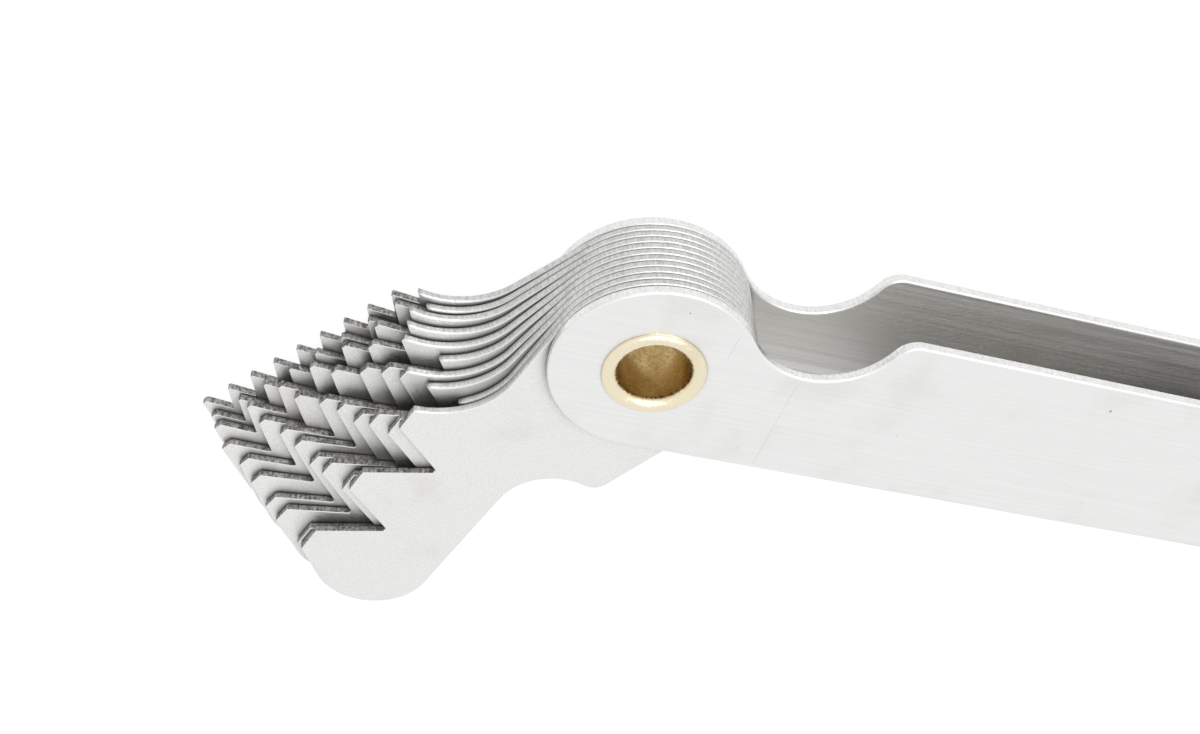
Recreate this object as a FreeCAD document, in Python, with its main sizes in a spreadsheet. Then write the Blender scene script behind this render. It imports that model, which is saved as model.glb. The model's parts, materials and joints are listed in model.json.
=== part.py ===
import FreeCAD, Part
import math
import os

import Sketcher

# A folding screw pitch gauge. Twenty toothed steel leaves turn on two tubular rivets, ten at each
# end of a case that is one sheet of steel folded into a channel.
#
# Millimetres. X runs from the coarse pivot to the fine pivot, Y from the folded edge of the case to
# its open edge, and Z along the pivots. The origin is on the coarse pivot, halfway through the case.

CASE = [
    ("pivot_spacing", 66.0),
    ("head_radius", 5.95),
    ("sheet_thickness", 0.66),
    ("open_edge_height", 5.62),
    ("scallop_radius", 4.6),
    ("scallop_floor", 1.7),
    ("scallop_corner_radius", 1.5),
    ("web_start", 17.0),
    ("bend_inner_radius", 0.54),
]
EYELET = [
    ("bore_radius", 2.05),
    ("barrel_radius", 2.40),
    ("flange_radius", 2.96),
    ("crown_height", 0.30),
    ("mouth_flare", 0.45),
    ("seat_clearance", 0.02),
    ("running_clearance", 0.05),
]
LEAF = [
    ("leaf_thickness", 0.48),
    ("leaf_gap", 0.03),
    ("neck_length", 5.3),
    ("neck_radius", 4.85),
    ("crest_height", 9.52),
    ("fine_crest_end", 24.9),
    ("leaf_reach", 26.65),
    ("tip_radius", 3.55),
    ("back_height", 1.5),
    ("throat_radius", 3.45),
    ("heel_reach", 10.46),
    ("heel_radius", 1.0),
    ("heel_slope", 17.0),
]
TOOTH = [
    ("thread_angle", 60.0),
    ("root_share", 0.05),
    ("fine_crest_share", 0.06),
    ("tip_land", 0.2),
    ("first_notch_limit", 9.0),
    ("cutter_overshoot", 1.0),
]

# Front leaf first: the thread's pitch, the flat that is left on each crest, the middle of the
# notch nearest the tip, measured from the pivot, and the direction that the leaf points in, in
# degrees from +X.
COARSE_LEAVES = [
    (6.0, 1.70, 19.85, 253.4),
    (5.5, 1.48, 20.51, 253.0),
    (5.0, 1.12, 21.07, 248.7),
    (4.5, 0.95, 21.57, 246.6),
    (4.0, 0.76, 21.80, 242.9),
    (3.5, 0.65, 22.22, 240.2),
    (3.0, 0.52, 23.13, 237.2),
    (2.5, 0.32, 23.39, 234.5),
    (2.0, 0.20, 23.73, 233.5),
    (1.75, 0.12, 24.16, 231.7),
]
FINE_PITCHES = [1.5, 1.25, 1.0, 0.8, 0.75, 0.7, 0.6, 0.5, 0.45, 0.4]
LEAVES_PER_END = len(COARSE_LEAVES)

# Sizes that several pieces share, worked out from the sheet.
LEAF_SPACE = f"({LEAVES_PER_END} * Sizes.leaf_thickness + {LEAVES_PER_END + 1} * Sizes.leaf_gap)"
CASE_THICKNESS = f"({LEAF_SPACE} + 2 * Sizes.sheet_thickness)"
CASE_HOLE_RADIUS = "Sizes.barrel_radius + Sizes.seat_clearance"
LEAF_HOLE_RADIUS = "Sizes.barrel_radius + Sizes.running_clearance"
BEND_OUTER_RADIUS = "(Sizes.sheet_thickness + Sizes.bend_inner_radius)"
WEB_LENGTH = "(Sizes.pivot_spacing - 2 * Sizes.web_start)"

# How a sketch names the points of an edge, and its own origin.
START, END, CENTRE = range(1, 4)
ORIGIN = (-1, START)

doc = FreeCAD.newDocument("pitch_gauge")
sizes = doc.addObject("Spreadsheet::Sheet", "Sizes")


def fill_sheet(rows):
    """Write each named size into the sheet, one to a row."""
    for row, (name, value) in enumerate(rows, start=1):
        sizes.set(f"A{row}", name)
        sizes.set(f"B{row}", str(value))
        sizes.setAlias(f"B{row}", name)
    doc.recompute()


def leaf_name(pitch):
    """A word for one leaf's pitch, such as 1_75 for 1.75 mm."""
    return f"{pitch:.2f}".replace(".", "_")


def leaf_sizes():
    """The sizes that differ from leaf to leaf, as rows of the sheet."""
    rows = []
    for pitch, crest_flat, last_notch, direction in COARSE_LEAVES:
        rows.append((f"pitch_{leaf_name(pitch)}", pitch))
        rows.append((f"crest_flat_{leaf_name(pitch)}", crest_flat))
        rows.append((f"last_notch_{leaf_name(pitch)}", last_notch))
        rows.append((f"direction_{leaf_name(pitch)}", direction))
    for pitch in FINE_PITCHES:
        rows.append((f"pitch_{leaf_name(pitch)}", pitch))
    return rows


# ---- Sketch helpers ---------------------------------------------------------------------------

def new_body(label):
    body = doc.addObject("PartDesign::Body", label)
    body.Label = label
    return body


def plane(body, role):
    return next(item for item in body.Origin.OriginFeatures if item.Role == role)


def new_sketch(body, name, role="XY_Plane"):
    sketch = body.newObject("Sketcher::SketchObject", name)
    sketch.AttachmentSupport = [(plane(body, role), "")]
    sketch.MapMode = "FlatFace"
    return sketch


def add_line(sketch, start, end):
    segment = Part.LineSegment(FreeCAD.Vector(*start, 0), FreeCAD.Vector(*end, 0))
    return sketch.addGeometry(segment, False)


def add_circle(sketch, centre, radius):
    circle = Part.Circle(FreeCAD.Vector(*centre, 0), FreeCAD.Vector(0, 0, 1), radius)
    return sketch.addGeometry(circle, False)


def add_arc(sketch, centre, radius, first, last):
    """An arc from the first to the last angle, anticlockwise, in degrees."""
    circle = Part.Circle(FreeCAD.Vector(*centre, 0), FreeCAD.Vector(0, 0, 1), radius)
    arc = Part.ArcOfCircle(circle, math.radians(first), math.radians(last))
    return sketch.addGeometry(arc, False)


def relate(sketch, kind, *where):
    return sketch.addConstraint(Sketcher.Constraint(kind, *where))


def dimension(sketch, formula, kind, *where):
    """Add a dimension and bind it to a formula of the sheet's sizes."""
    value = float(sketch.evalExpression(formula))
    if kind == "Angle":
        value = math.radians(value)
    index = sketch.addConstraint(Sketcher.Constraint(kind, *where, value))
    sketch.setExpression(f"Constraints[{index}]", formula)


def add_polygon(sketch, corners):
    """A closed run of straight edges through the corners."""
    edges = []
    for number, corner in enumerate(corners):
        following = corners[(number + 1) % len(corners)]
        edges.append(add_line(sketch, corner, following))
    for number, edge in enumerate(edges):
        relate(sketch, "Coincident", edge, END, edges[(number + 1) % len(edges)], START)
    return edges


def pad(body, sketch, name, formula):
    feature = body.newObject("PartDesign::Pad", name)
    feature.Profile = sketch
    feature.Midplane = True
    feature.setExpression("Length", formula)
    return feature


def pocket(body, sketch, name, formula):
    feature = body.newObject("PartDesign::Pocket", name)
    feature.Profile = sketch
    feature.Midplane = True
    feature.setExpression("Length", formula)
    return feature


# ---- Case -------------------------------------------------------------------------------------

def draw_cheek(sketch):
    """The side of the case: a round head at each end, a scallop beside it on the open edge."""
    head = sizes.head_radius
    far = sizes.pivot_spacing
    dip = sizes.scallop_radius
    corner = sizes.scallop_corner_radius
    dip_y = sizes.scallop_floor + dip
    dip_x = math.sqrt((head + dip) ** 2 - dip_y ** 2)
    corner_y = sizes.open_edge_height - corner
    corner_x = dip_x + math.sqrt((dip + corner) ** 2 - (dip_y - corner_y) ** 2)
    head_angle = math.degrees(math.atan2(dip_y, dip_x))
    dip_angle = math.degrees(math.atan2(dip_y - corner_y, corner_x - dip_x))

    closed_edge = add_line(sketch, (0, -head), (far, -head))
    far_head = add_arc(sketch, (far, 0), head, -90, 180 - head_angle)
    far_dip = add_arc(sketch, (far - dip_x, dip_y), dip, 180 + dip_angle, 360 - head_angle)
    far_corner = add_arc(sketch, (far - corner_x, corner_y), corner, dip_angle, 90)
    open_edge = add_line(sketch, (far - corner_x, corner_y + corner), (corner_x, corner_y + corner))
    near_corner = add_arc(sketch, (corner_x, corner_y), corner, 90, 180 - dip_angle)
    near_dip = add_arc(sketch, (dip_x, dip_y), dip, 180 + head_angle, 360 - dip_angle)
    near_head = add_arc(sketch, (0, 0), head, head_angle, 270)

    relate(sketch, "Tangent", closed_edge, END, far_head, START)
    relate(sketch, "Tangent", far_head, END, far_dip, END)
    relate(sketch, "Tangent", far_dip, START, far_corner, START)
    relate(sketch, "Tangent", far_corner, END, open_edge, START)
    relate(sketch, "Tangent", open_edge, END, near_corner, START)
    relate(sketch, "Tangent", near_corner, END, near_dip, END)
    relate(sketch, "Tangent", near_dip, START, near_head, START)
    relate(sketch, "Tangent", near_head, END, closed_edge, START)
    relate(sketch, "Horizontal", closed_edge)
    relate(sketch, "Horizontal", open_edge)
    relate(sketch, "Coincident", near_head, CENTRE, *ORIGIN)
    relate(sketch, "Equal", near_head, far_head)
    relate(sketch, "Equal", near_dip, far_dip)
    relate(sketch, "Equal", near_corner, far_corner)
    relate(sketch, "Horizontal", near_dip, CENTRE, far_dip, CENTRE)

    dimension(sketch, "Sizes.head_radius", "Radius", near_head)
    dimension(sketch, "Sizes.pivot_spacing", "DistanceX", *ORIGIN, far_head, CENTRE)
    dimension(sketch, "Sizes.scallop_radius", "Radius", near_dip)
    dimension(sketch, "Sizes.scallop_floor + Sizes.scallop_radius",
              "DistanceY", *ORIGIN, near_dip, CENTRE)
    dimension(sketch, "Sizes.scallop_corner_radius", "Radius", near_corner)
    dimension(sketch, "Sizes.open_edge_height", "DistanceY", *ORIGIN, open_edge, START)


def draw_leaf_space(sketch):
    """All of the inside but the web: the leaves' room between the cheeks, open at both ends."""
    past = 2 * sizes.head_radius
    far = sizes.pivot_spacing
    web = sizes.web_start
    floor = sizes.sheet_thickness - sizes.head_radius
    corners = [
        (-past, -past), (web, -past), (web, floor), (far - web, floor),
        (far - web, -past), (far + past, -past), (far + past, past), (-past, past),
    ]
    edges = add_polygon(sketch, corners)
    near_floor, web_near, web_top, web_far, far_floor, far_side, top, near_side = edges
    for edge in (near_floor, web_top, far_floor, top):
        relate(sketch, "Horizontal", edge)
    for edge in (web_near, web_far, far_side, near_side):
        relate(sketch, "Vertical", edge)
    relate(sketch, "Equal", web_near, web_far)
    dimension(sketch, "Sizes.web_start", "DistanceX", *ORIGIN, web_near, START)
    dimension(sketch, WEB_LENGTH, "DistanceX", web_top, START, web_top, END)
    dimension(sketch, "Sizes.head_radius - Sizes.sheet_thickness",
              "DistanceY", web_top, START, *ORIGIN)
    dimension(sketch, "2 * Sizes.head_radius", "DistanceX", near_floor, START, *ORIGIN)
    dimension(sketch, "2 * Sizes.head_radius", "DistanceY", near_floor, START, *ORIGIN)
    dimension(sketch, "2 * Sizes.head_radius", "DistanceY", *ORIGIN, top, START)
    dimension(sketch, "Sizes.pivot_spacing + 2 * Sizes.head_radius",
              "DistanceX", *ORIGIN, far_side, START)


def draw_bend_waste(sketch, side):
    """What the outside of one bend lacks from a square corner, on the side of Z given as 1 or -1."""
    edge = -sizes.head_radius
    face = side * float(sketch.evalExpression(CASE_THICKNESS)) / 2
    bend = float(sketch.evalExpression(BEND_OUTER_RADIUS))
    along = add_line(sketch, (edge, face), (edge + bend, face))
    down = add_line(sketch, (edge, face), (edge, face - side * bend))
    first = 90 if side > 0 else 180
    bend_arc = add_arc(sketch, (edge + bend, face - side * bend), bend, first, first + 90)
    on_face, on_edge = (START, END) if side > 0 else (END, START)
    relate(sketch, "Coincident", along, START, down, START)
    relate(sketch, "Horizontal", along)
    relate(sketch, "Vertical", down)
    relate(sketch, "Tangent", along, END, bend_arc, on_face)
    relate(sketch, "Tangent", down, END, bend_arc, on_edge)
    dimension(sketch, BEND_OUTER_RADIUS, "Radius", bend_arc)
    dimension(sketch, "Sizes.head_radius", "DistanceX", along, START, *ORIGIN)
    if side > 0:
        dimension(sketch, f"{CASE_THICKNESS} / 2", "DistanceY", *ORIGIN, along, START)
    else:
        dimension(sketch, f"{CASE_THICKNESS} / 2", "DistanceY", along, START, *ORIGIN)


def inner_bend_edges(shape):
    """The names of the two edges where the web meets the cheeks on the inside."""
    floor = sizes.sheet_thickness - sizes.head_radius
    names = []
    for number, edge in enumerate(shape.Edges, start=1):
        ends = [vertex.Point for vertex in edge.Vertexes]
        on_floor = all(abs(point.y - floor) < 1e-6 for point in ends)
        along_web = len(ends) == 2 and abs(ends[0].x - ends[1].x) > sizes.web_start
        if on_floor and along_web:
            names.append(f"Edge{number}")
    return names


def make_case():
    body = new_body("case")

    cheek = new_sketch(body, "cheek_outline")
    draw_cheek(cheek)
    pad(body, cheek, "folded_block", CASE_THICKNESS)

    space = new_sketch(body, "leaf_space_outline")
    draw_leaf_space(space)
    pocket(body, space, "leaf_space", LEAF_SPACE)

    waste = new_sketch(body, "bend_section", "YZ_Plane")
    waste.setExpression("AttachmentOffset.Base.z", "Sizes.pivot_spacing / 2")
    draw_bend_waste(waste, 1)
    draw_bend_waste(waste, -1)
    pocket(body, waste, "outer_bends", WEB_LENGTH)

    holes = new_sketch(body, "eyelet_holes")
    near = add_circle(holes, (0, 0), sizes.barrel_radius)
    far = add_circle(holes, (sizes.pivot_spacing, 0), sizes.barrel_radius)
    relate(holes, "Coincident", near, CENTRE, *ORIGIN)
    relate(holes, "Equal", near, far)
    relate(holes, "Horizontal", near, CENTRE, far, CENTRE)
    dimension(holes, CASE_HOLE_RADIUS, "Radius", near)
    dimension(holes, "Sizes.pivot_spacing", "DistanceX", *ORIGIN, far, CENTRE)
    drilled = pocket(body, holes, "eyelet_seats", f"2 * {CASE_THICKNESS}")
    doc.recompute()

    bends = body.newObject("PartDesign::Fillet", "inner_bends")
    bends.Base = (drilled, inner_bend_edges(drilled.Shape))
    bends.setExpression("Radius", "Sizes.bend_inner_radius")
    return body


# ---- Eyelets ----------------------------------------------------------------------------------

def draw_eyelet_half(sketch):
    """Half of the eyelet's section: a barrel, a flange curled over the cheek, a flared mouth."""
    bore = sizes.bore_radius
    barrel = sizes.barrel_radius
    flange = sizes.flange_radius
    mouth = sizes.mouth_flare
    seat = float(sketch.evalExpression(CASE_THICKNESS)) / 2
    crown = seat + sizes.crown_height
    crown_radius = bore + mouth
    curl = ((flange - crown_radius) ** 2 + sizes.crown_height ** 2) / (2 * sizes.crown_height)
    curl_end = math.degrees(math.atan2(seat - crown + curl, flange - crown_radius))

    bore_wall = add_line(sketch, (bore, 0), (bore, crown - mouth))
    flare = add_line(sketch, (bore, crown - mouth), (crown_radius, crown))
    curl_arc = add_arc(sketch, (crown_radius, crown - curl), curl, curl_end, 90)
    under = add_line(sketch, (flange, seat), (barrel, seat))
    barrel_wall = add_line(sketch, (barrel, seat), (barrel, 0))
    middle = add_line(sketch, (barrel, 0), (bore, 0))

    relate(sketch, "Coincident", bore_wall, END, flare, START)
    relate(sketch, "Coincident", flare, END, curl_arc, END)
    relate(sketch, "Coincident", curl_arc, START, under, START)
    relate(sketch, "Coincident", under, END, barrel_wall, START)
    relate(sketch, "Coincident", barrel_wall, END, middle, START)
    relate(sketch, "Coincident", middle, END, bore_wall, START)
    relate(sketch, "Vertical", bore_wall)
    relate(sketch, "Vertical", curl_arc, CENTRE, curl_arc, END)
    relate(sketch, "Horizontal", under)
    relate(sketch, "Vertical", barrel_wall)
    relate(sketch, "Horizontal", middle)
    relate(sketch, "PointOnObject", middle, START, -1)

    dimension(sketch, "Sizes.bore_radius", "DistanceX", *ORIGIN, bore_wall, START)
    dimension(sketch, "Sizes.barrel_radius", "DistanceX", *ORIGIN, barrel_wall, START)
    dimension(sketch, "Sizes.flange_radius", "DistanceX", *ORIGIN, under, START)
    dimension(sketch, "Sizes.mouth_flare", "DistanceX", flare, START, flare, END)
    dimension(sketch, "Sizes.mouth_flare", "DistanceY", flare, START, flare, END)
    dimension(sketch, f"{CASE_THICKNESS} / 2", "DistanceY", *ORIGIN, under, START)
    dimension(sketch, f"{CASE_THICKNESS} / 2 + Sizes.crown_height",
              "DistanceY", *ORIGIN, flare, END)


def make_eyelet(label, along):
    body = new_body(label)
    section = new_sketch(body, f"{label}_section", "XZ_Plane")
    draw_eyelet_half(section)

    turned = body.newObject("PartDesign::Revolution", f"{label}_half")
    turned.Profile = section
    turned.ReferenceAxis = (section, ["V_Axis"])
    turned.Angle = 360

    both = body.newObject("PartDesign::Mirrored", f"{label}_both_ends")
    both.Originals = [turned]
    both.MirrorPlane = (plane(body, "XY_Plane"), [""])
    body.Tip = both
    body.setExpression("Placement.Base.x", along)
    return body


# ---- Leaves -----------------------------------------------------------------------------------

def neck_end_angle():
    """Where the neck's arc meets the line of the crests, in degrees round the arc's centre."""
    rise = sizes.crest_height - sizes.head_radius - sizes.neck_radius
    return math.degrees(math.asin(rise / sizes.neck_radius))


def folded_angle():
    """How far a folded leaf leans from the case, its first crest flush with the folded edge."""
    corner_x = sizes.neck_length + sizes.neck_radius * math.cos(math.radians(neck_end_angle()))
    corner_y = sizes.crest_height
    lean = math.atan2(corner_y, corner_x)
    return math.degrees(lean - math.asin(sizes.head_radius / math.hypot(corner_x, corner_y)))


def draw_leaf(sketch, crest_end):
    """One leaf's blank, pointing along +X with its toothed edge on the +Y side."""
    head = sizes.head_radius
    neck = sizes.neck_radius
    crest = sizes.crest_height
    back = sizes.back_height
    tip = sizes.tip_radius
    tip_x = sizes.leaf_reach - tip
    throat = sizes.throat_radius
    heel_x = sizes.heel_reach
    heel = sizes.heel_radius
    slope = math.radians(sizes.heel_slope)
    neck_y = head + neck
    neck_end = neck_end_angle()
    crest_end_x = float(sketch.evalExpression(crest_end))
    neck_end_x = sizes.neck_length + neck * math.cos(math.radians(neck_end))
    tip_angle = 35
    touch = math.radians(tip_angle)
    tip_touch = (tip_x + tip * math.cos(touch), back + tip + tip * math.sin(touch))
    heel_touch = (head * math.sin(slope), -head * math.cos(slope))
    corner_y = heel_touch[1] + (heel_x - heel_touch[0]) * math.tan(slope) + heel

    head_arc = add_arc(sketch, (0, 0), head, 90, 270 + sizes.heel_slope)
    neck_line = add_line(sketch, (0, head), (sizes.neck_length, head))
    neck_arc = add_arc(sketch, (sizes.neck_length, neck_y), neck, -90, neck_end)
    crest_line = add_line(sketch, (neck_end_x, crest), (crest_end_x, crest))
    tip_line = add_line(sketch, (crest_end_x, crest), tip_touch)
    tip_arc = add_arc(sketch, (tip_x, back + tip), tip, -90, tip_angle)
    back_line = add_line(sketch, (tip_x, back), (heel_x + throat, back))
    throat_arc = add_arc(sketch, (heel_x + throat, back - throat), throat, 90, 180)
    heel_line = add_line(sketch, (heel_x, back - throat), (heel_x, corner_y))
    heel_arc = add_arc(sketch, (heel_x - heel, corner_y), heel, 270 + sizes.heel_slope, 360)
    slope_line = add_line(sketch, heel_touch, (heel_x - heel, corner_y - heel))

    relate(sketch, "Tangent", head_arc, START, neck_line, START)
    relate(sketch, "Tangent", neck_line, END, neck_arc, START)
    relate(sketch, "Coincident", neck_arc, END, crest_line, START)
    relate(sketch, "Coincident", crest_line, END, tip_line, START)
    relate(sketch, "Tangent", tip_line, END, tip_arc, END)
    relate(sketch, "Tangent", tip_arc, START, back_line, START)
    relate(sketch, "Tangent", back_line, END, throat_arc, START)
    relate(sketch, "Tangent", throat_arc, END, heel_line, START)
    relate(sketch, "Tangent", heel_line, END, heel_arc, END)
    relate(sketch, "Tangent", heel_arc, START, slope_line, END)
    relate(sketch, "Tangent", slope_line, START, head_arc, END)
    relate(sketch, "Coincident", head_arc, CENTRE, *ORIGIN)
    for edge in (neck_line, crest_line, back_line):
        relate(sketch, "Horizontal", edge)
    relate(sketch, "Vertical", heel_line)

    dimension(sketch, "Sizes.head_radius", "Radius", head_arc)
    dimension(sketch, "Sizes.neck_length", "DistanceX", *ORIGIN, neck_line, END)
    dimension(sketch, "Sizes.neck_radius", "Radius", neck_arc)
    dimension(sketch, "Sizes.crest_height", "DistanceY", *ORIGIN, crest_line, START)
    dimension(sketch, crest_end, "DistanceX", *ORIGIN, crest_line, END)
    dimension(sketch, "Sizes.tip_radius", "Radius", tip_arc)
    dimension(sketch, "Sizes.leaf_reach - Sizes.tip_radius", "DistanceX", *ORIGIN, tip_arc, CENTRE)
    dimension(sketch, "Sizes.back_height", "DistanceY", *ORIGIN, back_line, START)
    dimension(sketch, "Sizes.throat_radius", "Radius", throat_arc)
    dimension(sketch, "Sizes.heel_reach", "DistanceX", *ORIGIN, heel_line, START)
    dimension(sketch, "Sizes.heel_radius", "Radius", heel_arc)
    dimension(sketch, "Sizes.heel_slope", "Angle", slope_line)

    hole = add_circle(sketch, (0, 0), sizes.barrel_radius)
    relate(sketch, "Coincident", hole, CENTRE, *ORIGIN)
    dimension(sketch, LEAF_HOLE_RADIUS, "Radius", hole)


def draw_notch(sketch, pitch, crest_flat, last_notch):
    """The notch nearest the tip: a V with the thread's angle and a narrow flat at its root."""
    depth = (f"(({pitch} * (1 - Sizes.root_share) - {crest_flat}) / 2"
             " / tan(Sizes.thread_angle * 1deg / 2))")
    root_width = f"{pitch} * Sizes.root_share"
    root_y = sizes.crest_height - float(sketch.evalExpression(depth))
    root_half = float(sketch.evalExpression(root_width)) / 2
    top_y = sizes.crest_height + sizes.cutter_overshoot
    top_half = root_half + (top_y - root_y) * math.tan(math.radians(sizes.thread_angle / 2))
    middle = float(sketch.evalExpression(last_notch))
    corners = [
        (middle - root_half, root_y), (middle + root_half, root_y),
        (middle + top_half, top_y), (middle - top_half, top_y),
    ]
    root, tip_flank, top, head_flank = add_polygon(sketch, corners)
    relate(sketch, "Horizontal", root)
    relate(sketch, "Horizontal", top)
    relate(sketch, "Equal", tip_flank, head_flank)
    dimension(sketch, "90 - Sizes.thread_angle / 2", "Angle", tip_flank)
    dimension(sketch, root_width, "DistanceX", root, START, root, END)
    dimension(sketch, f"{last_notch} - {root_width} / 2", "DistanceX", *ORIGIN, root, START)
    dimension(sketch, f"Sizes.crest_height - {depth}", "DistanceY", *ORIGIN, root, START)
    dimension(sketch, "Sizes.crest_height + Sizes.cutter_overshoot",
              "DistanceY", *ORIGIN, top, START)


def make_leaf(name, crest_flat, last_notch, pivot_x, layer):
    """A leaf with its teeth, in its layer of the stack, where 0 is the front one."""
    pitch = f"Sizes.pitch_{name}"
    body = new_body(f"leaf_{name}_mm")

    outline = new_sketch(body, f"blank_{name}")
    draw_leaf(outline, f"{last_notch} + ({pitch} + {crest_flat}) / 2 + Sizes.tip_land")
    pad(body, outline, f"plate_{name}", "Sizes.leaf_thickness")

    notch = new_sketch(body, f"notch_{name}")
    draw_notch(notch, pitch, crest_flat, last_notch)
    cut = pocket(body, notch, f"last_notch_{name}", "2 * Sizes.leaf_thickness")

    count = f"(floor(({last_notch} - Sizes.first_notch_limit) / {pitch}) + 1)"
    teeth = body.newObject("PartDesign::LinearPattern", f"teeth_{name}")
    teeth.Originals = [cut]
    teeth.Direction = (notch, ["H_Axis"])
    teeth.Reversed = True
    teeth.setExpression("Length", f"({count} - 1) * {pitch}")
    teeth.setExpression("Occurrences", count)
    body.Tip = teeth

    body.setExpression("Placement.Base.x", pivot_x)
    body.setExpression(
        "Placement.Base.z",
        f"{LEAF_SPACE} / 2 - Sizes.leaf_gap - Sizes.leaf_thickness / 2"
        f" - {layer} * (Sizes.leaf_thickness + Sizes.leaf_gap)")
    return body


def make_coarse_leaves():
    """The fanned leaves, turned over so that their teeth face clockwise seen from the front."""
    for layer, leaf in enumerate(COARSE_LEAVES):
        name = leaf_name(leaf[0])
        crest_flat = f"Sizes.crest_flat_{name}"
        body = make_leaf(name, crest_flat, f"Sizes.last_notch_{name}", "0", layer)
        direction = getattr(sizes, f"direction_{name}")
        body.Placement.Rotation = FreeCAD.Rotation(direction, 0, 180)


def make_fine_leaves():
    """The folded leaves of the far end, whose teeth face the folded edge of the case."""
    for layer, pitch in enumerate(FINE_PITCHES):
        name = leaf_name(pitch)
        crest_flat = f"(Sizes.pitch_{name} * Sizes.fine_crest_share)"
        last_notch = ("(Sizes.fine_crest_end - Sizes.tip_land"
                      f" - (Sizes.pitch_{name} + {crest_flat}) / 2)")
        body = make_leaf(name, crest_flat, last_notch, "Sizes.pivot_spacing", layer)
        body.Placement.Rotation = FreeCAD.Rotation(180 - folded_angle(), 0, 0)


# ---- Build ------------------------------------------------------------------------------------

def check_document():
    """Stop if any feature failed, or any piece is empty or not a single valid solid."""
    for item in doc.Objects:
        if "Invalid" in item.State or "Error" in item.State:
            raise RuntimeError(f"{item.Label} failed: {item.State}")
    for body in doc.findObjects("PartDesign::Body"):
        shape = body.Shape
        if shape.isNull() or not shape.isValid() or len(shape.Solids) != 1:
            raise RuntimeError(f"{body.Label} is not one valid solid")


def export_pieces():
    os.makedirs("parts", exist_ok=True)
    for body in doc.findObjects("PartDesign::Body"):
        body.Shape.exportStep(f"parts/{body.Label}.step")


fill_sheet(CASE + EYELET + LEAF + TOOTH + leaf_sizes())
make_case()
make_eyelet("coarse_eyelet", "0")
make_eyelet("fine_eyelet", "Sizes.pivot_spacing")
make_coarse_leaves()
make_fine_leaves()
doc.recompute()
check_document()
export_pieces()
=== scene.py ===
import json
import math

import bmesh
import bpy
from mathutils import Matrix, Vector


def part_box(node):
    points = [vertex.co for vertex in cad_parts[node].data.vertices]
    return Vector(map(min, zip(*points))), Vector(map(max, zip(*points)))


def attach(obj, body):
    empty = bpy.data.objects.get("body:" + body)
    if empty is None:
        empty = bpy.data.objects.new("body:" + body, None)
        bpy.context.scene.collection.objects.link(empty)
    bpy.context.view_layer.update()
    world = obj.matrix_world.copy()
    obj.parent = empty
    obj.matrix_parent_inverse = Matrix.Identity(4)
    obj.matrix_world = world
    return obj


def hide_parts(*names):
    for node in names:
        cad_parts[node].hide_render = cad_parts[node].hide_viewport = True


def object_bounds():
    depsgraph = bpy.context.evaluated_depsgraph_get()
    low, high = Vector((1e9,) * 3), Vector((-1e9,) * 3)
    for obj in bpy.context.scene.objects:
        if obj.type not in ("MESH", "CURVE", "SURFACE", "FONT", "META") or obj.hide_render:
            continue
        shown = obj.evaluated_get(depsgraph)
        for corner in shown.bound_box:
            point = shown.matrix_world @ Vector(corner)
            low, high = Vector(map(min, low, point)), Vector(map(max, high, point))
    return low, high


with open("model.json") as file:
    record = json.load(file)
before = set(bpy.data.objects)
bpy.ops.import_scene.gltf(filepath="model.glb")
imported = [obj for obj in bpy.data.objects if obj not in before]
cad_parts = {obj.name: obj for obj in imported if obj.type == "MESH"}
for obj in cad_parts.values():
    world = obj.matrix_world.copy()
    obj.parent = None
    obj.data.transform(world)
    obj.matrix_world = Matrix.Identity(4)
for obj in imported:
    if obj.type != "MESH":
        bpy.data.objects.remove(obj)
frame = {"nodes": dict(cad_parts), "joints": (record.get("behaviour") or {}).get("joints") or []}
model_low, model_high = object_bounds()
MM = 0.001


# ---- Case ---------------------------------------------------------------------------------------
# One sheet of spring-hard stainless steel, blanked with its two scalloped cheeks side by side,
# tumbled until its edges are round and bright, then folded over along the web. The rolling marks
# run along it, and use has left it with hairline scratches and a few dark specks.

CASE_EDGE_ROUND = 0.16 * MM
FOLD_RADIUS = 1.20 * MM
RIM_ANGLE = math.radians(35)
# A flat face of a sheet has more corners than this, and any face of a rim has fewer.
LARGE_FACE = 20
FACE_COLOUR = (0.84, 0.84, 0.835, 1)
FACE_STREAK = (0.78, 0.78, 0.775, 1)
INSIDE_COLOUR = (0.80, 0.795, 0.775, 1)
INSIDE_STREAK = (0.68, 0.67, 0.645, 1)
EDGE_COLOUR = (0.86, 0.86, 0.855, 1)
EDGE_STREAK = (0.68, 0.68, 0.67, 1)
STAIN_COLOUR = (0.56, 0.52, 0.44, 1)
SCRATCH_COLOUR = (0.42, 0.42, 0.42, 1)
SPECK_COLOUR = (0.16, 0.15, 0.14, 1)
# The colour and the reach of the painted shade that darkens corners and gaps.
PAINTED_SHADE_COLOUR = (0.13, 0.125, 0.12, 1)
EDGE_SHADE_REACH = 0.45 * MM
# Hairlines on the front cheek, from end to end and half as wide as they look, in mm.
SCRATCHES = [
    ((8.1, 1.1), (7.9, -5.6), 0.020),
    ((3.7, 3.7), (3.6, 2.2), 0.022),
    ((6.4, -4.8), (6.7, -4.2), 0.020),
    ((24.0, -2.1), (27.5, -2.6), 0.012),
    ((33.0, 1.9), (35.2, 1.2), 0.012),
]
# Specks on the front cheek: the middle and the radius, in mm.
SPECKS = [((0.5, 4.75), 0.07), ((26.9, 3.85), 0.11), ((15.3, -1.2), 0.05)]


def is_sheet_face(face):
    return abs(face.normal.z) > 0.999


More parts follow.
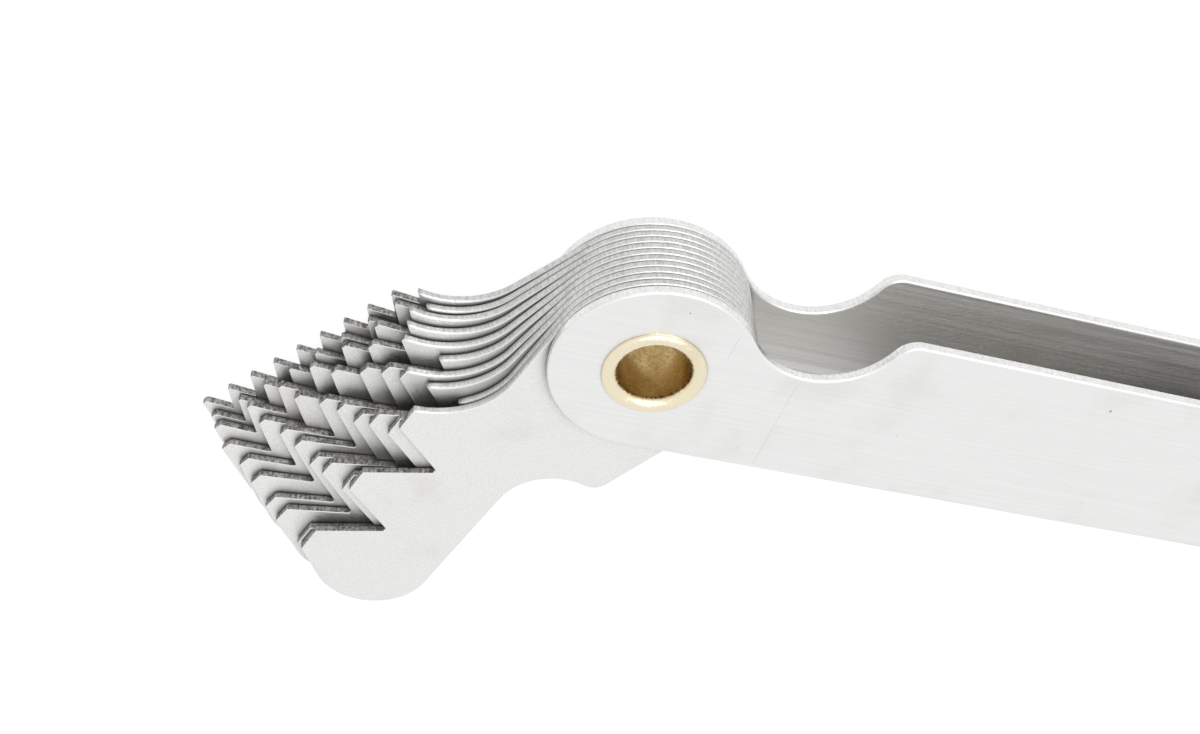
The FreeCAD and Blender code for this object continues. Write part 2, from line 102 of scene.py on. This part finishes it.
def copy_of_node(name, piece_name, pivot, across):
    """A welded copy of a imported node, its flat faces whole but for one cut through its holes."""
    mesh = frame["nodes"][name].data.copy()
    mesh.name = piece_name
    mesh.materials.clear()
    work = bmesh.new()
    work.from_mesh(mesh)
    bmesh.ops.remove_doubles(work, verts=work.verts, dist=1e-7)
    bmesh.ops.dissolve_limit(work, angle_limit=math.radians(1), verts=work.verts, edges=work.edges)
    everything = work.verts[:] + work.edges[:] + work.faces[:]
    bmesh.ops.bisect_plane(work, geom=everything, dist=1e-8, plane_co=pivot, plane_no=across)
    seams = []
    for edge in work.edges:
        on_cut = all(abs((corner.co - pivot).dot(across)) < 1e-7 for corner in edge.verts)
        if not on_cut and all(is_sheet_face(face) for face in edge.link_faces):
            seams.append(edge)
    bmesh.ops.dissolve_edges(work, edges=seams, use_verts=False, use_face_split=False)
    for face in work.faces:
        face.smooth = True
    work.to_mesh(mesh)
    work.free()
    piece = bpy.data.objects.new(piece_name, mesh)
    bpy.context.scene.collection.objects.link(piece)
    return piece


def round_rims(piece, width, segments, share):
    """Round the rims where a flat sheet face meets a cut edge, each to a share of the width."""
    mesh = piece.data
    work = bmesh.new()
    work.from_mesh(mesh)
    rims = work.edges.layers.float.new("bevel_weight_edge")
    for edge in work.edges:
        if len(edge.link_faces) != 2:
            continue
        one, other = edge.link_faces
        if is_sheet_face(one) != is_sheet_face(other) and edge.calc_face_angle() > RIM_ANGLE:
            edge[rims] = share(edge)
    work.to_mesh(mesh)
    work.free()
    bevel = piece.modifiers.new("rounded_rims", "BEVEL")
    bevel.width = width
    bevel.segments = segments
    bevel.limit_method = "WEIGHT"
    bevel.use_clamp_overlap = False
    bpy.context.view_layer.update()
    rounded = piece.evaluated_get(bpy.context.evaluated_depsgraph_get())
    mesh = bpy.data.meshes.new_from_object(rounded)
    piece.modifiers.clear()
    for face in mesh.polygons:
        if len(face.vertices) < LARGE_FACE or abs(face.normal.z) < 0.9:
            continue
        levels = sorted(mesh.vertices[number].co.z for number in face.vertices)
        for number in face.vertices:
            mesh.vertices[number].co.z = levels[len(levels) // 2]
        face.use_smooth = False
    piece.data = mesh
    flat = piece.modifiers.new("flat_faces", "WEIGHTED_NORMAL")
    flat.keep_sharp = True
    flat.weight = 100


def paint_faces(piece, materials, choose):
    """Give the piece its materials, and each face the one whose number choose returns."""
    for material in materials:
        piece.data.materials.append(material)
    for face in piece.data.polygons:
        face.material_index = choose(face)


def new_group(name, inputs, output):
    """A shader group with float inputs, and one output of the given kind."""
    group = bpy.data.node_groups.new(name, "ShaderNodeTree")
    for label in inputs:
        group.interface.new_socket(label, in_out="INPUT", socket_type="NodeSocketFloat")
    group.interface.new_socket(output[0], in_out="OUTPUT", socket_type=output[1])
    ends = group.nodes.new("NodeGroupInput"), group.nodes.new("NodeGroupOutput")
    return group, ends[0], ends[1]


def object_noise(tree, stretch, detail, roughness=0.5):
    """Noise over the piece's own coordinates, with so many features per metre along each axis."""
    nodes, links = tree.nodes, tree.links
    place = nodes.new("ShaderNodeTexCoord")
    scale = nodes.new("ShaderNodeMapping")
    scale.inputs["Scale"].default_value = stretch
    noise = nodes.new("ShaderNodeTexNoise")
    noise.inputs["Scale"].default_value = 1.0
    noise.inputs["Detail"].default_value = detail
    noise.inputs["Roughness"].default_value = roughness
    links.new(place.outputs["Object"], scale.inputs["Vector"])
    links.new(scale.outputs["Vector"], noise.inputs["Vector"])
    return noise.outputs["Fac"]


def math_node(tree, operation, first, second):
    node = tree.nodes.new("ShaderNodeMath")
    node.operation = operation
    for socket, value in zip(node.inputs, (first, second)):
        if isinstance(value, (int, float)):
            socket.default_value = value
        else:
            tree.links.new(value, socket)
    return node.outputs[0]


def remap(tree, value, low, high, to_low=0.0, to_high=1.0):
    node = tree.nodes.new("ShaderNodeMapRange")
    node.interpolation_type = "SMOOTHSTEP"
    for label, number in (("From Min", low), ("From Max", high),
                          ("To Min", to_low), ("To Max", to_high)):
        node.inputs[label].default_value = number
    tree.links.new(value, node.inputs["Value"])
    return node.outputs["Result"]


def mix_colours(tree, share, first, second):
    node = tree.nodes.new("ShaderNodeMix")
    node.data_type = "RGBA"
    tree.links.new(share, node.inputs["Factor"])
    for socket, colour in ((node.inputs[6], first), (node.inputs[7], second)):
        if isinstance(colour, tuple):
            socket.default_value = colour
        else:
            tree.links.new(colour, socket)
    return node.outputs[2]


def noise_group(name, stretch, detail, low, high):
    """A group that gives one kind of surface mark as a mask from 0 to 1."""
    group, _, end = new_group(name, (), ("Mask", "NodeSocketFloat"))
    noise = object_noise(group, stretch, detail)
    group.links.new(remap(group, noise, low, high), end.inputs["Mask"])
    return group


LONG_STREAKS = noise_group("streaks_along_the_sheet", (60, 5200, 5200), 4, 0.30, 0.70)
SHEAR_LINES = noise_group("lines_across_a_cut_edge", (6500, 6500, 1500), 3, 0.30, 0.70)
FINE_GRAIN = noise_group("fine_blasted_grain", (9000, 9000, 9000), 3, 0.30, 0.72)
COARSE_GRAIN = noise_group("coarse_ground_grain", (5200, 5200, 5200), 4, 0.38, 0.64)
SOFT_STAINS = noise_group("soft_handling_stains", (230, 230, 230), 5, 0.50, 0.78)


def mask_of(tree, group):
    node = tree.nodes.new("ShaderNodeGroup")
    node.node_tree = group
    return node.outputs["Mask"]


def new_metal(name, roughness):
    """A new metal with its node tree and shader, and its roughness ready to be varied."""
    material = bpy.data.materials.new(name)
    material.use_nodes = True
    shader = material.node_tree.nodes["Principled BSDF"]
    shader.inputs["Metallic"].default_value = 1.0
    shader.inputs["Roughness"].default_value = roughness
    return material, material.node_tree, shader


def raise_bumps(tree, shader, height, strength, depth):
    bump = tree.nodes.new("ShaderNodeBump")
    bump.inputs["Strength"].default_value = strength
    bump.inputs["Distance"].default_value = depth
    tree.links.new(height, bump.inputs["Height"])
    tree.links.new(bump.outputs["Normal"], shader.inputs["Normal"])


def dot_from(tree, start, direction):
    """How far the surface lies from a point of the sheet, measured along a direction, in metres."""
    place = tree.nodes.new("ShaderNodeTexCoord")
    offset = tree.nodes.new("ShaderNodeVectorMath")
    offset.operation = "SUBTRACT"
    offset.inputs[1].default_value = (start[0] * MM, start[1] * MM, 0)
    along = tree.nodes.new("ShaderNodeVectorMath")
    along.operation = "DOT_PRODUCT"
    along.inputs[1].default_value = (direction[0], direction[1], 0)
    tree.links.new(place.outputs["Object"], offset.inputs[0])
    tree.links.new(offset.outputs[0], along.inputs[0])
    return along.outputs["Value"]


def front_marks(kind):
    """A group with the front cheek's scratches or specks, as a mask from 0 to 1."""
    group, _, end = new_group(f"front_cheek_{kind}", (), ("Mask", "NodeSocketFloat"))
    total = 0.0
    if kind == "scratches":
        for start, finish, half_width in SCRATCHES:
            run = Vector(finish) - Vector(start)
            length = run.length
            run.normalize()
            along = dot_from(group, start, run)
            aside = math_node(group, "ABSOLUTE", dot_from(group, start, (-run.y, run.x)), 0)
            line = remap(group, aside, half_width * MM, half_width * MM * 0.3)
            begun = math_node(group, "GREATER_THAN", along, 0.0)
            ended = math_node(group, "LESS_THAN", along, length * MM)
            within = math_node(group, "MULTIPLY", begun, ended)
            total = math_node(group, "MAXIMUM", math_node(group, "MULTIPLY", line, within), total)
    else:
        for middle, radius in SPECKS:
            across = math_node(group, "POWER", dot_from(group, middle, (1, 0)), 2)
            up = math_node(group, "POWER", dot_from(group, middle, (0, 1)), 2)
            away = math_node(group, "SQRT", math_node(group, "ADD", across, up), 0)
            spot = remap(group, away, radius * MM, radius * MM * 0.5)
            total = math_node(group, "MAXIMUM", spot, total)
    place = group.nodes.new("ShaderNodeTexCoord")
    split = group.nodes.new("ShaderNodeSeparateXYZ")
    group.links.new(place.outputs["Object"], split.inputs[0])
    in_front = math_node(group, "GREATER_THAN", split.outputs["Z"], model_high.z * 0.85)
    group.links.new(math_node(group, "MULTIPLY", total, in_front), end.inputs["Mask"])
    return group


def add_painted_shade(tree, colour, reach):
    """Painted shade: darken the colour in corners and gaps, the more the nearer other surfaces
    stand.
    """
    hollow = tree.nodes.new("ShaderNodeAmbientOcclusion")
    hollow.inputs["Distance"].default_value = reach
    shade_share = remap(tree, hollow.outputs["AO"], 0.95, 0.25, 0.0, 0.85)
    return mix_colours(tree, shade_share, colour, PAINTED_SHADE_COLOUR)


def sheet_steel(name, plain, streak, roughness, marked):
    material, tree, shader = new_metal(name, roughness)
    streaks = mask_of(tree, LONG_STREAKS)
    grain = mask_of(tree, FINE_GRAIN)
    stains = mask_of(tree, SOFT_STAINS)
    both = math_node(tree, "ADD", math_node(tree, "MULTIPLY", streaks, 0.6),
                     math_node(tree, "MULTIPLY", grain, 0.4))
    colour = mix_colours(tree, both, streak, plain)
    colour = mix_colours(tree, math_node(tree, "MULTIPLY", stains, 0.22), colour, STAIN_COLOUR)
    if marked:
        scratches = mask_of(tree, front_marks("scratches"))
        faint = math_node(tree, "MULTIPLY", scratches, 0.55)
        colour = mix_colours(tree, faint, colour, SCRATCH_COLOUR)
        specks = mask_of(tree, front_marks("specks"))
        colour = mix_colours(tree, math_node(tree, "MULTIPLY", specks, 0.7), colour, SPECK_COLOUR)
    # Painted shade in corners and gaps, such as round the eyelet flanges and where the leaves
    # touch.
    tree.links.new(add_painted_shade(tree, colour, EDGE_SHADE_REACH), shader.inputs["Base Color"])
    varied = remap(tree, both, 0, 1, roughness + 0.10, roughness - 0.06)
    tree.links.new(varied, shader.inputs["Roughness"])
    raise_bumps(tree, shader, both, 0.25, 0.004 * MM)
    return material


def cut_edge_steel(name, plain, streak, roughness, grain_group, depth):
    """The edge of a punched or ground sheet: lines across it, and a grain that catches light."""
    material, tree, shader = new_metal(name, roughness)
    lines = mask_of(tree, SHEAR_LINES)
    grain = mask_of(tree, grain_group)
    both = math_node(tree, "MULTIPLY", math_node(tree, "ADD", lines, grain), 0.5)
    # Painted shade in corners and gaps along the cut edges.
    colour = add_painted_shade(tree, mix_colours(tree, both, streak, plain), EDGE_SHADE_REACH)
    tree.links.new(colour, shader.inputs["Base Color"])
    varied = remap(tree, both, 0, 1, roughness + 0.15, roughness - 0.10)
    tree.links.new(varied, shader.inputs["Roughness"])
    raise_bumps(tree, shader, both, 0.5, depth)
    return material


case_low, case_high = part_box("case")
CASE_MATERIALS = [
    sheet_steel("satin_case_steel", FACE_COLOUR, FACE_STREAK, 0.42, True),
    sheet_steel("dull_inside_steel", INSIDE_COLOUR, INSIDE_STREAK, 0.50, False),
    cut_edge_steel("bright_case_edge", EDGE_COLOUR, EDGE_STREAK, 0.30, FINE_GRAIN, 0.006 * MM),
]
OUTER, INNER, EDGE = range(3)


def case_finish(face):
    if abs(face.normal.z) > 0.9:
        facing_out = face.normal.z * face.center.z > 0
        return OUTER if facing_out else INNER
    return OUTER if face.normal.y < -0.3 and face.center.y < case_low.y * 0.8 else EDGE


def case_rim_share(edge):
    """All of the round, but none where the web starts or ends across the fold."""
    first, second = (corner.co for corner in edge.verts)
    across_fold = abs(first.x - second.x) < 1e-6 and max(first.y, second.y) < case_low.y * 0.75
    return 0.0 if across_fold else 1.0


def tighten_fold(piece):
    """Bring the fold's outer side out to a tight corner, flush with the free edges beside it."""
    straight = FOLD_RADIUS - CASE_EDGE_ROUND
    for corner in piece.data.vertices:
        side = math.copysign(1, corner.co.z)
        back = case_low.y + FOLD_RADIUS - corner.co.y
        out = side * corner.co.z - (case_high.z - FOLD_RADIUS)
        reach = math.hypot(back, out)
        if back < 0 or out < 0 or abs(reach - FOLD_RADIUS) > 0.003 * MM:
            continue
        stretch = FOLD_RADIUS / max(back, out)
        back, out = back * stretch, out * stretch
        if min(back, out) > straight:
            over = Vector((back - straight, out - straight))
            over = over.normalized() * CASE_EDGE_ROUND
            back, out = straight + over.x, straight + over.y
        corner.co.y = case_low.y + FOLD_RADIUS - back
        corner.co.z = side * (case_high.z - FOLD_RADIUS + out)


case = copy_of_node("case", "folded_case", Vector((0, 0, 0)), Vector((0, 1, 0)))
tighten_fold(case)
paint_faces(case, CASE_MATERIALS, case_finish)
round_rims(case, CASE_EDGE_ROUND, 3, case_rim_share)
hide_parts("case")
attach(case, "case")


# ---- Eyelets ------------------------------------------------------------------------------------
# Two tubular brass rivets, pushed through both cheeks and the stack of leaves, then curled over
# at each end by a punch, which leaves a rounded flange and a trumpet mouth. The flanges are
# rubbed pale, and the bores have gone brown.

BORE_RADIUS = 2.05 * MM
BARREL_RADIUS = 2.40 * MM
CREST_RADIUS = 2.58 * MM
FLANGE_RADIUS = 2.96 * MM
MOUTH_DEPTH = 0.55 * MM
PALE_BRASS = (0.84, 0.76, 0.57, 1)
RIM_BRASS = (0.62, 0.52, 0.33, 1)
BORE_BRASS = (0.46, 0.33, 0.14, 1)
BORE_STAIN = (0.62, 0.46, 0.22, 1)
ROUND_STEPS = 96
CURVE_STEPS = 10


def eyelet_brass():
    material, tree, shader = new_metal("worn_eyelet_brass", 0.30)
    place = tree.nodes.new("ShaderNodeTexCoord")
    split = tree.nodes.new("ShaderNodeSeparateXYZ")
    tree.links.new(place.outputs["Object"], split.inputs[0])
    height = math_node(tree, "ABSOLUTE", split.outputs["Z"], 0)
    out = remap(tree, height, case_high.z - 0.25 * MM, case_high.z + 0.15 * MM)
    mottle = mask_of(tree, SOFT_STAINS)
    grain = mask_of(tree, COARSE_GRAIN)
    patches = remap(tree, object_noise(tree, (900, 900, 500), 4), 0.35, 0.65)
    bore = mix_colours(tree, patches, BORE_BRASS, BORE_STAIN)
    flange = mix_colours(tree, math_node(tree, "MULTIPLY", mottle, 0.8), PALE_BRASS, RIM_BRASS)
    tree.links.new(mix_colours(tree, out, bore, flange), shader.inputs["Base Color"])
    varied = remap(tree, grain, 0, 1, 0.24, 0.42)
    tree.links.new(varied, shader.inputs["Roughness"])
    raise_bumps(tree, shader, grain, 0.3, 0.006 * MM)
    return material


def eyelet_section(seat, crown):
    """Half of the section, from the bore's middle round the curled flange to the barrel."""
    points = [(BORE_RADIUS, 0), (BORE_RADIUS, crown - MOUTH_DEPTH)]
    for step in range(1, CURVE_STEPS + 1):
        turn = math.pi / 2 * step / CURVE_STEPS
        points.append((CREST_RADIUS - (CREST_RADIUS - BORE_RADIUS) * math.cos(turn),
                       crown - MOUTH_DEPTH * (1 - math.sin(turn))))
    for step in range(1, CURVE_STEPS + 1):
        turn = math.pi / 2 * step / CURVE_STEPS
        points.append((CREST_RADIUS + (FLANGE_RADIUS - CREST_RADIUS) * math.sin(turn),
                       seat + (crown - seat) * math.cos(turn)))
    points.append((BARREL_RADIUS, seat))
    points.append((BARREL_RADIUS, 0))
    return points


def spin_eyelet(node, piece_name):
    low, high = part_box(node)
    middle = (low + high) / 2
    half = eyelet_section(case_high.z, high.z)
    whole = half + [(radius, -height) for radius, height in reversed(half[1:-1])]
    work = bmesh.new()
    ring = [work.verts.new((middle.x + radius, middle.y, height)) for radius, height in whole]
    edges = [work.edges.new((ring[number - 1], ring[number])) for number in range(len(ring))]
    bmesh.ops.spin(work, geom=ring + edges, cent=middle, axis=(0, 0, 1), angle=2 * math.pi,
                   steps=ROUND_STEPS, use_merge=True, use_duplicate=False)
    bmesh.ops.remove_doubles(work, verts=work.verts, dist=1e-7)
    bmesh.ops.recalc_face_normals(work, faces=work.faces)
    for face in work.faces:
        face.smooth = True
    mesh = bpy.data.meshes.new(piece_name)
    work.to_mesh(mesh)
    work.free()
    mesh.set_sharp_from_angle(angle=math.radians(50))
    piece = bpy.data.objects.new(piece_name, mesh)
    bpy.context.scene.collection.objects.link(piece)
    return piece


brass = eyelet_brass()
for node in ("coarse_eyelet", "fine_eyelet"):
    eyelet = spin_eyelet(node, f"{node}_shell")
    eyelet.data.materials.append(brass)
    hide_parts(node)
    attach(eyelet, "case")


# ---- Leaves -------------------------------------------------------------------------------------
# Twenty leaves blanked from hard steel strip, blasted to a pale matte and stained by handling,
# with their thread profiles ground along one edge, which leaves gritty flanks, painted dark partly
# for that grit and partly as painted shade in the notches. Each turns on its eyelet between its
# neighbours.

LEAF_EDGE_ROUND = 0.15 * MM
# The round on a tooth's rims for each millimetre of its pitch.
TOOTH_ROUND = 0.010 * MM
LEAF_COLOUR = (0.83, 0.83, 0.825, 1)
LEAF_GRAIN = (0.75, 0.748, 0.74, 1)
PUNCHED_COLOUR = (0.70, 0.70, 0.69, 1)
PUNCHED_STREAK = (0.46, 0.46, 0.45, 1)
# The flanks' dark colours: partly their ground grit, partly painted shade in the notches.
FLANK_COLOUR = (0.50, 0.49, 0.47, 1)
FLANK_GRIT_AND_SHADE = (0.10, 0.098, 0.094, 1)
# How far the painted shade reaches over a leaf's faces, into the notches and under its neighbours.
FACE_SHADE_REACH = 1.6 * MM
FOLDED_LEAN = 18.1
NECK_CENTRE = Vector((5.30, 10.80)) * MM
NECK_RADIUS = 4.85 * MM
TEETH_FROM = 8.3 * MM
TEETH_ABOVE = 5.5 * MM


def leaf_steel():
    material, tree, shader = new_metal("blasted_leaf_steel", 0.5)
    grain = mask_of(tree, FINE_GRAIN)
    stains = mask_of(tree, SOFT_STAINS)
    colour = mix_colours(tree, grain, LEAF_GRAIN, LEAF_COLOUR)
    colour = mix_colours(tree, math_node(tree, "MULTIPLY", stains, 0.28), colour, STAIN_COLOUR)
    # Painted shade where the leaves hem each other in.
    tree.links.new(add_painted_shade(tree, colour, FACE_SHADE_REACH), shader.inputs["Base Color"])
    tree.links.new(remap(tree, grain, 0, 1, 0.60, 0.42), shader.inputs["Roughness"])
    raise_bumps(tree, shader, grain, 0.3, 0.006 * MM)
    return material


LEAF_MATERIALS = [
    leaf_steel(),
    cut_edge_steel("punched_leaf_edge", PUNCHED_COLOUR, PUNCHED_STREAK, 0.42, FINE_GRAIN,
                   0.010 * MM),
    # Dark partly from grit and partly as painted shade in the notches between the teeth.
    cut_edge_steel("ground_and_shaded_tooth_flank", FLANK_COLOUR, FLANK_GRIT_AND_SHADE, 0.50, COARSE_GRAIN,
                   0.020 * MM),
]
LEAF_FACE, PUNCHED, GROUND = range(3)


def leaf_finish(joint):
    """Which material a face of this leaf takes, and how much of the round a rim of it gets."""
    pivot = Vector(joint["pos_m"]).to_2d()
    coarse = pivot.x < model_high.x / 2
    if coarse:
        direction = math.radians(FOLDED_LEAN - joint["range_deg"][0])
    else:
        direction = math.radians(180 - FOLDED_LEAN)
    along = Vector((math.cos(direction), math.sin(direction)))
    toothed_side = Vector((along.y, -along.x)) if coarse else Vector((-along.y, along.x))

    def spot_on_leaf(place):
        away = place.to_2d() - pivot
        return Vector((away.dot(along), away.dot(toothed_side)))

    spots = [spot_on_leaf(corner.co) for corner in frame["nodes"][joint["child"]].data.vertices]
    crest_height = max(spot.y for spot in spots)
    last_crest = max(spot.x for spot in spots if spot.y > crest_height - 0.005 * MM)

    def on_teeth(place):
        spot = spot_on_leaf(place)
        on_neck = (spot - NECK_CENTRE).length < NECK_RADIUS * 1.01
        return TEETH_FROM < spot.x < last_crest and spot.y > TEETH_ABOVE and not on_neck

    def choose(face):
        if is_sheet_face(face):
            return LEAF_FACE
        return GROUND if on_teeth(face.center) else PUNCHED

    pitch = float(joint["name"].removeprefix("turn_").replace("_", "."))
    tooth_share = min(1.0, pitch * TOOTH_ROUND / LEAF_EDGE_ROUND)

    def rim_share(edge):
        middle = (edge.verts[0].co + edge.verts[1].co) / 2
        return tooth_share if on_teeth(middle) else 1.0

    return toothed_side.to_3d(), choose, rim_share


for joint in frame["joints"]:
    node = joint["child"]
    toothed_side, material_of_face, share_of_round = leaf_finish(joint)
    leaf = copy_of_node(node, f"toothed_{node}", Vector(joint["pos_m"]), toothed_side)
    paint_faces(leaf, LEAF_MATERIALS, material_of_face)
    round_rims(leaf, LEAF_EDGE_ROUND, 3, share_of_round)
    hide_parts(node)
    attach(leaf, node)


# ---- Floor, light and camera --------------------------------------------------------------------
# A plain white table under soft light from all round, brightest from above the open edge.

def white_where_seen(nodes, links, lit, white):
    """The share of the plain white shader over the lit one: whole for the camera and for
    reflections.
    """
    path = nodes.new("ShaderNodeLightPath")
    seen = nodes.new("ShaderNodeMath")
    seen.operation = "MAXIMUM"
    links.new(path.outputs["Is Camera Ray"], seen.inputs[0])
    links.new(path.outputs["Is Glossy Ray"], seen.inputs[1])
    return seen.outputs[0]


FLOOR_HEIGHT = model_low.z
floor_mesh = bpy.data.meshes.new("floor")
work = bmesh.new()
bmesh.ops.create_grid(work, x_segments=1, y_segments=1, size=3.0)
bmesh.ops.translate(work, verts=work.verts, vec=(0, 0, FLOOR_HEIGHT))
work.to_mesh(floor_mesh)
work.free()
floor = bpy.data.objects.new("floor", floor_mesh)
bpy.context.scene.collection.objects.link(floor)

material = bpy.data.materials.new("white_floor")
material.use_nodes = True
nodes, links = material.node_tree.nodes, material.node_tree.links
floor_mesh.materials.append(material)
nodes.remove(nodes["Principled BSDF"])
diffuse = nodes.new("ShaderNodeBsdfDiffuse")
diffuse.inputs["Color"].default_value = (0.9, 0.9, 0.9, 1)
glow = nodes.new("ShaderNodeEmission")
glow.inputs["Color"].default_value = (1, 1, 1, 1)
glow.inputs["Strength"].default_value = 1.15
seen = white_where_seen(nodes, links, diffuse, glow)
share = nodes.new("ShaderNodeMath")
share.operation = "MULTIPLY"
share.inputs[1].default_value = 0.8
links.new(seen, share.inputs[0])
mixed = nodes.new("ShaderNodeMixShader")
links.new(share.outputs[0], mixed.inputs[0])
links.new(diffuse.outputs[0], mixed.inputs[1])
links.new(glow.outputs[0], mixed.inputs[2])
links.new(mixed.outputs[0], nodes["Material Output"].inputs["Surface"])

world = bpy.data.worlds.new("white_studio")
bpy.context.scene.world = world
world.use_nodes = True
nodes, links = world.node_tree.nodes, world.node_tree.links
lit = nodes["Background"]
lit.inputs["Strength"].default_value = 0.7
white = nodes.new("ShaderNodeBackground")
white.inputs["Color"].default_value = (1, 1, 1, 1)
lit.inputs["Color"].default_value = (1, 1, 1, 1)
seen = white_where_seen(nodes, links, lit, white)
mixed = nodes.new("ShaderNodeMixShader")
links.new(seen, mixed.inputs[0])
links.new(lit.outputs[0], mixed.inputs[1])
links.new(white.outputs[0], mixed.inputs[2])
links.new(mixed.outputs[0], nodes["World Output"].inputs["Surface"])


def soft_lamp(name, place, size, power):
    lamp = bpy.data.lights.new(name, "AREA")
    lamp.shape = "SQUARE"
    lamp.size = size
    lamp.energy = power
    holder = bpy.data.objects.new(name, lamp)
    holder.location = place
    holder.rotation_euler = (-Vector(place)).to_track_quat("-Z", "Y").to_euler()
    bpy.context.scene.collection.objects.link(holder)


soft_lamp("lamp_over_open_edge", (0.05, 0.30, 0.35), 0.30, 1.2)

camera = bpy.data.objects.new("camera", bpy.data.cameras.new("camera"))
bpy.context.scene.collection.objects.link(camera)
CAMERA_RIGHT = Vector((0.93908, 0.33278, 0.08594))
CAMERA_UP = Vector((-0.18420, 0.69840, -0.69160))
CAMERA_BACK = Vector((-0.29017, 0.63363, 0.71715))
turn = Matrix((CAMERA_RIGHT, CAMERA_UP, CAMERA_BACK)).transposed().to_4x4()
camera.matrix_world = Matrix.Translation((-0.024139, 0.061567, 0.071338)) @ turn
camera.data.lens = 51.285
camera.data.sensor_width = 36
camera.data.shift_x = -0.1004
camera.data.clip_start = 0.001
bpy.context.scene.camera = camera
bpy.context.scene.view_settings.view_transform = "Standard"
